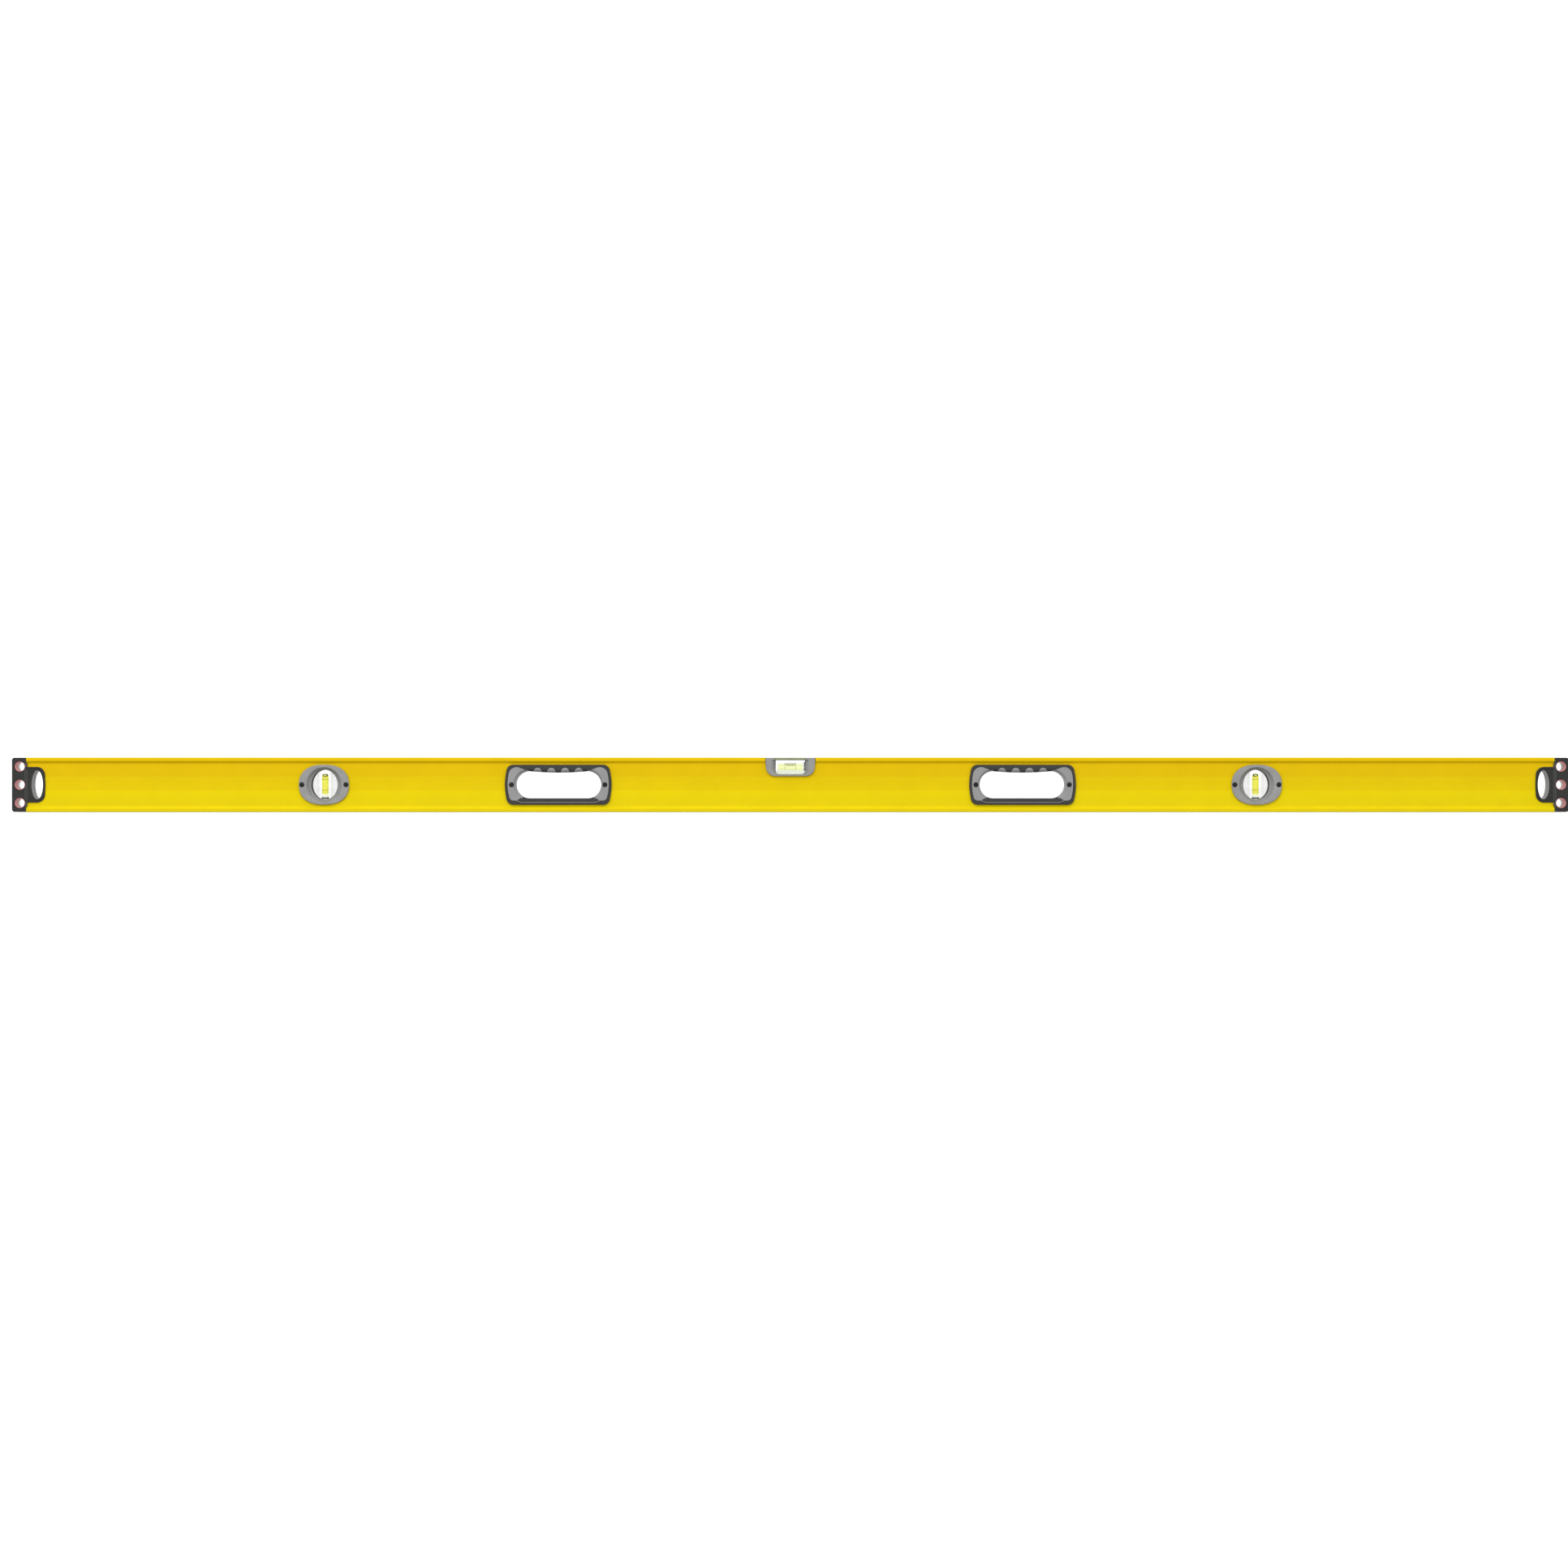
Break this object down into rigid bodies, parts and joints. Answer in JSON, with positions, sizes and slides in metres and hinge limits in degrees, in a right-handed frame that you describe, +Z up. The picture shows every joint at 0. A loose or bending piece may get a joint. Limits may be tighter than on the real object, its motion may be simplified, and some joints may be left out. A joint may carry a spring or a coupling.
{
  "type": "spirit level",
  "caption": "Long box-beam spirit level with a level vial in the top edge, a plumb vial towards each end, hand holes, and rubber end caps to hang it by.",
  "frame": {"origin": "on the lower working face, midway along the level and midway through its depth", "axes": "+X along the level, to the right seen from the front; +Y from the front face to the back, through the depth; +Z up, from the lower working face to the upper one"},
  "size_m": [1.829, 0.029, 0.064],
  "materials": {
    "yellow_paint": "satin",
    "black_rubber": "matte",
    "pink_liner": "satin",
    "grey_plastic": "satin",
    "black_steel": "satin",
    "clear_acrylic": "polished",
    "vial_fluid": "gloss",
    "bubble": "gloss",
    "black_marking": "matte"
  },
  "bodies": {
    "level": {"beam": "yellow_paint", "bore_liner_left_lower": "pink_liner", "bore_liner_left_middle": "pink_liner", "bore_liner_left_upper": "pink_liner", "bore_liner_right_lower": "pink_liner", "bore_liner_right_middle": "pink_liner", "bore_liner_right_upper": "pink_liner", "end_cap_left": "black_rubber", "end_cap_right": "black_rubber", "handle_frame_front_left": "grey_plastic", "handle_frame_front_right": "grey_plastic", "handle_frame_rear_left": "grey_plastic", "handle_frame_rear_right": "grey_plastic", "handle_grip_front_left": "black_rubber", "handle_grip_front_right": "black_rubber", "handle_grip_rear_left": "black_rubber", "handle_grip_rear_right": "black_rubber", "handle_screw_left_a": "black_steel", "handle_screw_left_b": "black_steel", "handle_screw_right_a": "black_steel", "handle_screw_right_b": "black_steel", "level_block": "clear_acrylic", "level_fluid": "vial_fluid", "level_housing_front": "grey_plastic", "level_housing_rear": "grey_plastic", "level_plug": "clear_acrylic", "level_ring_left": "black_marking", "level_ring_right": "black_marking", "plumb_bezel_front_left": "grey_plastic", "plumb_bezel_front_right": "grey_plastic", "plumb_bezel_rear_left": "grey_plastic", "plumb_bezel_rear_right": "grey_plastic", "plumb_block_left": "clear_acrylic", "plumb_block_right": "clear_acrylic", "plumb_fluid_left": "vial_fluid", "plumb_fluid_right": "vial_fluid", "plumb_plug_left": "clear_acrylic", "plumb_plug_right": "clear_acrylic", "plumb_ring_left_lower": "black_marking", "plumb_ring_left_upper": "black_marking", "plumb_ring_right_lower": "black_marking", "plumb_ring_right_upper": "black_marking", "plumb_screw_left_a": "black_steel", "plumb_screw_left_b": "black_steel", "plumb_screw_right_a": "black_steel", "plumb_screw_right_b": "black_steel"},
    "level_bubble": {"level_bubble": "bubble"},
    "plumb_bubble_left": {"plumb_bubble_left": "bubble"},
    "plumb_bubble_right": {"plumb_bubble_right": "bubble"}
  },
  "joints": [
    {"name": "level_bubble_slide", "type": "slide", "parent": "level", "child": "level_bubble", "axis": [1, 0, 0], "range_m": [-0.0085, 0.0085], "stiffness_N_per_m": 0.5},
    {"name": "plumb_bubble_left_slide", "type": "slide", "parent": "level", "child": "plumb_bubble_left", "axis": [0, 0, 1], "range_m": [-0.022, 0], "stiffness_N_per_m": 0.5, "springref_m": 0.02},
    {"name": "plumb_bubble_right_slide", "type": "slide", "parent": "level", "child": "plumb_bubble_right", "axis": [0, 0, 1], "range_m": [-0.022, 0], "stiffness_N_per_m": 0.5, "springref_m": 0.02}
  ]
}
